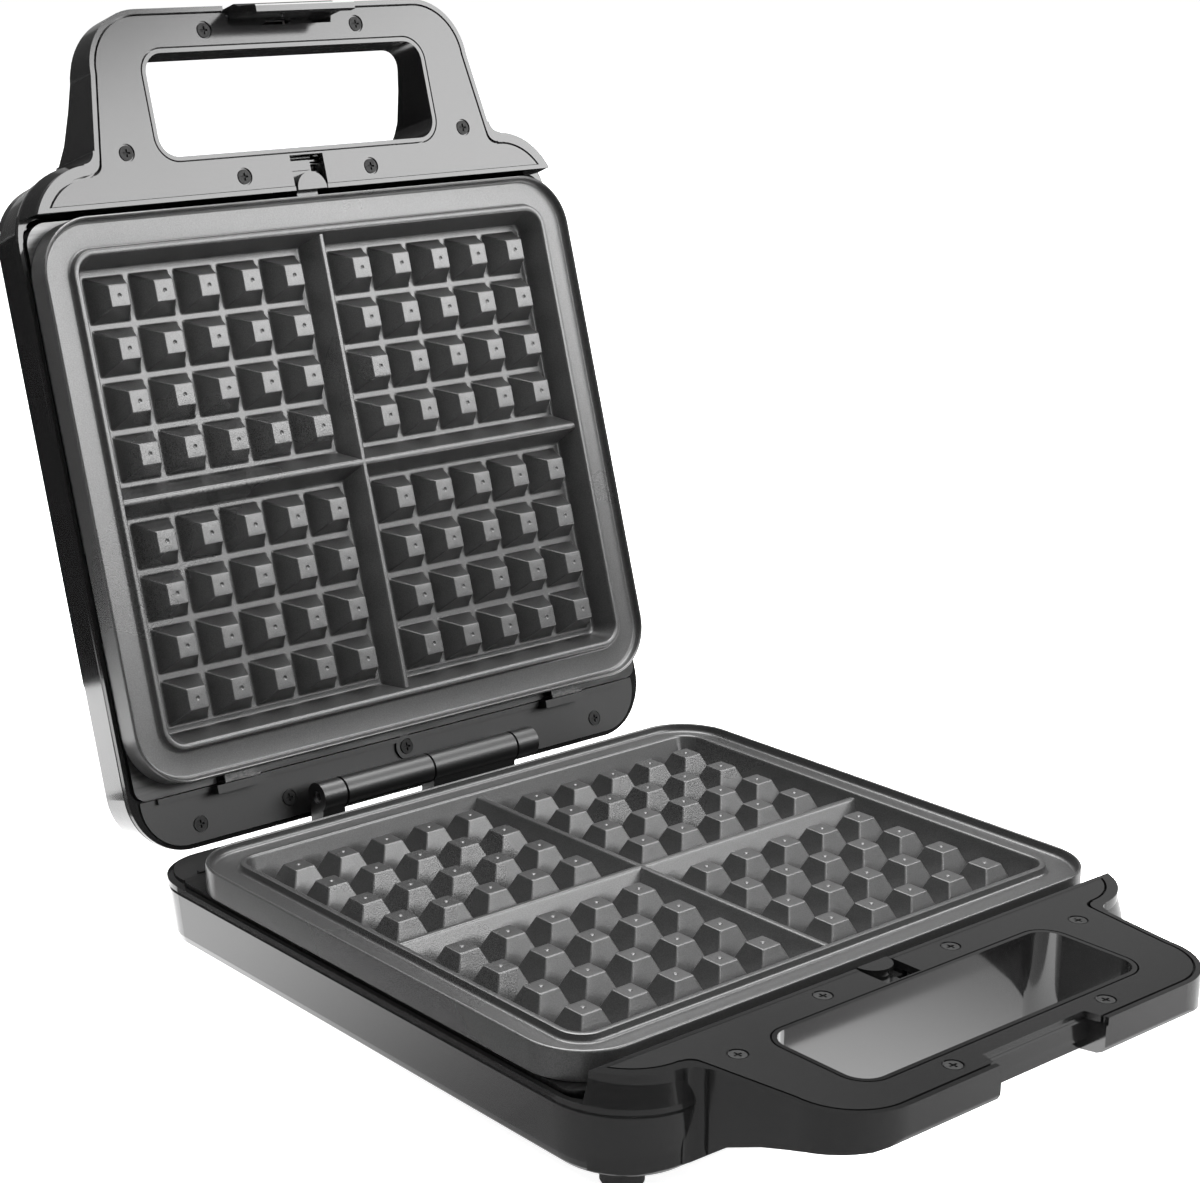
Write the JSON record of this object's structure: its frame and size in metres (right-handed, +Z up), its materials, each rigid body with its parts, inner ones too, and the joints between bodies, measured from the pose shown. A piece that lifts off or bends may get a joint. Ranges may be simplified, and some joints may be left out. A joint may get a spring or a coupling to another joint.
{
  "type": "waffle maker",
  "caption": "Open clamshell waffle maker for square waffles: hinged housings with lift-out grid plates, pull handles with finger openings, sliding plate releases and a sprung lid latch.",
  "frame": {"origin": "centre of the open appliance's bounding box, at the floor under its feet", "axes": "+Z up, handles toward -Y, hinge toward +Y, +X to the right of someone facing the handles"},
  "size_m": [0.2568, 0.4164, 0.3393],
  "materials": {
    "gloss_black": "polished",
    "satin_black": "satin",
    "rubber_black": "matte",
    "nonstick_plate": "satin non-stick coating",
    "deck_sheet": "brushed",
    "heater_tube": "heat-darkened",
    "ceramic": "matte",
    "lens_red": "glossy, lit from inside in use",
    "plain_steel": "plain"
  },
  "bodies": {
    "base": {"base_shell": "gloss_black", "bottom_cover": "satin_black", "cover_screws": "plain_steel", "feet": "rubber_black", "base_handle_trim": "satin_black", "base_handle_screws": "plain_steel", "base_deck": "deck_sheet", "base_plate": "nonstick_plate", "base_heater": "heater_tube", "base_heater_clips": "plain_steel", "base_rear_trim": "satin_black", "base_rear_screws": "plain_steel", "base_plate_clips": "plain_steel", "base_catch_spring": "plain_steel", "base_thermostat": "ceramic", "thermal_fuse": "plain_steel", "terminal_block": "ceramic", "cord_gland": "rubber_black", "hinge_pin": "plain_steel"},
    "lid": {"lid_shell": "gloss_black", "lid_handle_trim": "satin_black", "lid_handle_screws": "plain_steel", "lid_deck": "deck_sheet", "lid_plate": "nonstick_plate", "lid_heater": "heater_tube", "lid_heater_clips": "plain_steel", "lid_rear_trim": "satin_black", "lid_rear_screws": "plain_steel", "lid_plate_clips": "plain_steel", "lid_catch_spring": "plain_steel", "lid_thermostat": "ceramic", "lamp_holder": "ceramic", "lamp_lenses": "lens_red", "latch_pin": "plain_steel", "latch_spring": "plain_steel"},
    "base_catch": {"base_catch": "satin_black"},
    "lid_catch": {"lid_catch": "satin_black"},
    "latch": {"latch": "gloss_black"}
  },
  "joints": [
    {"name": "lid_hinge", "type": "hinge", "parent": "base", "child": "lid", "pos_m": [0, 0.0993, 0.045], "axis": [1, 0, 0], "range_deg": [0, 107.13]},
    {"name": "base_release", "type": "slide", "parent": "base", "child": "base_catch", "axis": [0, -1, 0], "range_m": [0, 0.0025], "stiffness_N_per_m": 300},
    {"name": "lid_release", "type": "slide", "parent": "lid", "child": "lid_catch", "axis": [0, 0.2945, 0.9556], "range_m": [0, 0.0025], "stiffness_N_per_m": 300},
    {"name": "latch_pivot", "type": "hinge", "parent": "lid", "child": "latch", "pos_m": [0, 0.19553, 0.33345], "axis": [-1, 0, 0], "range_deg": [0, 15], "stiffness_Nm_per_rad": 0.1}
  ]
}
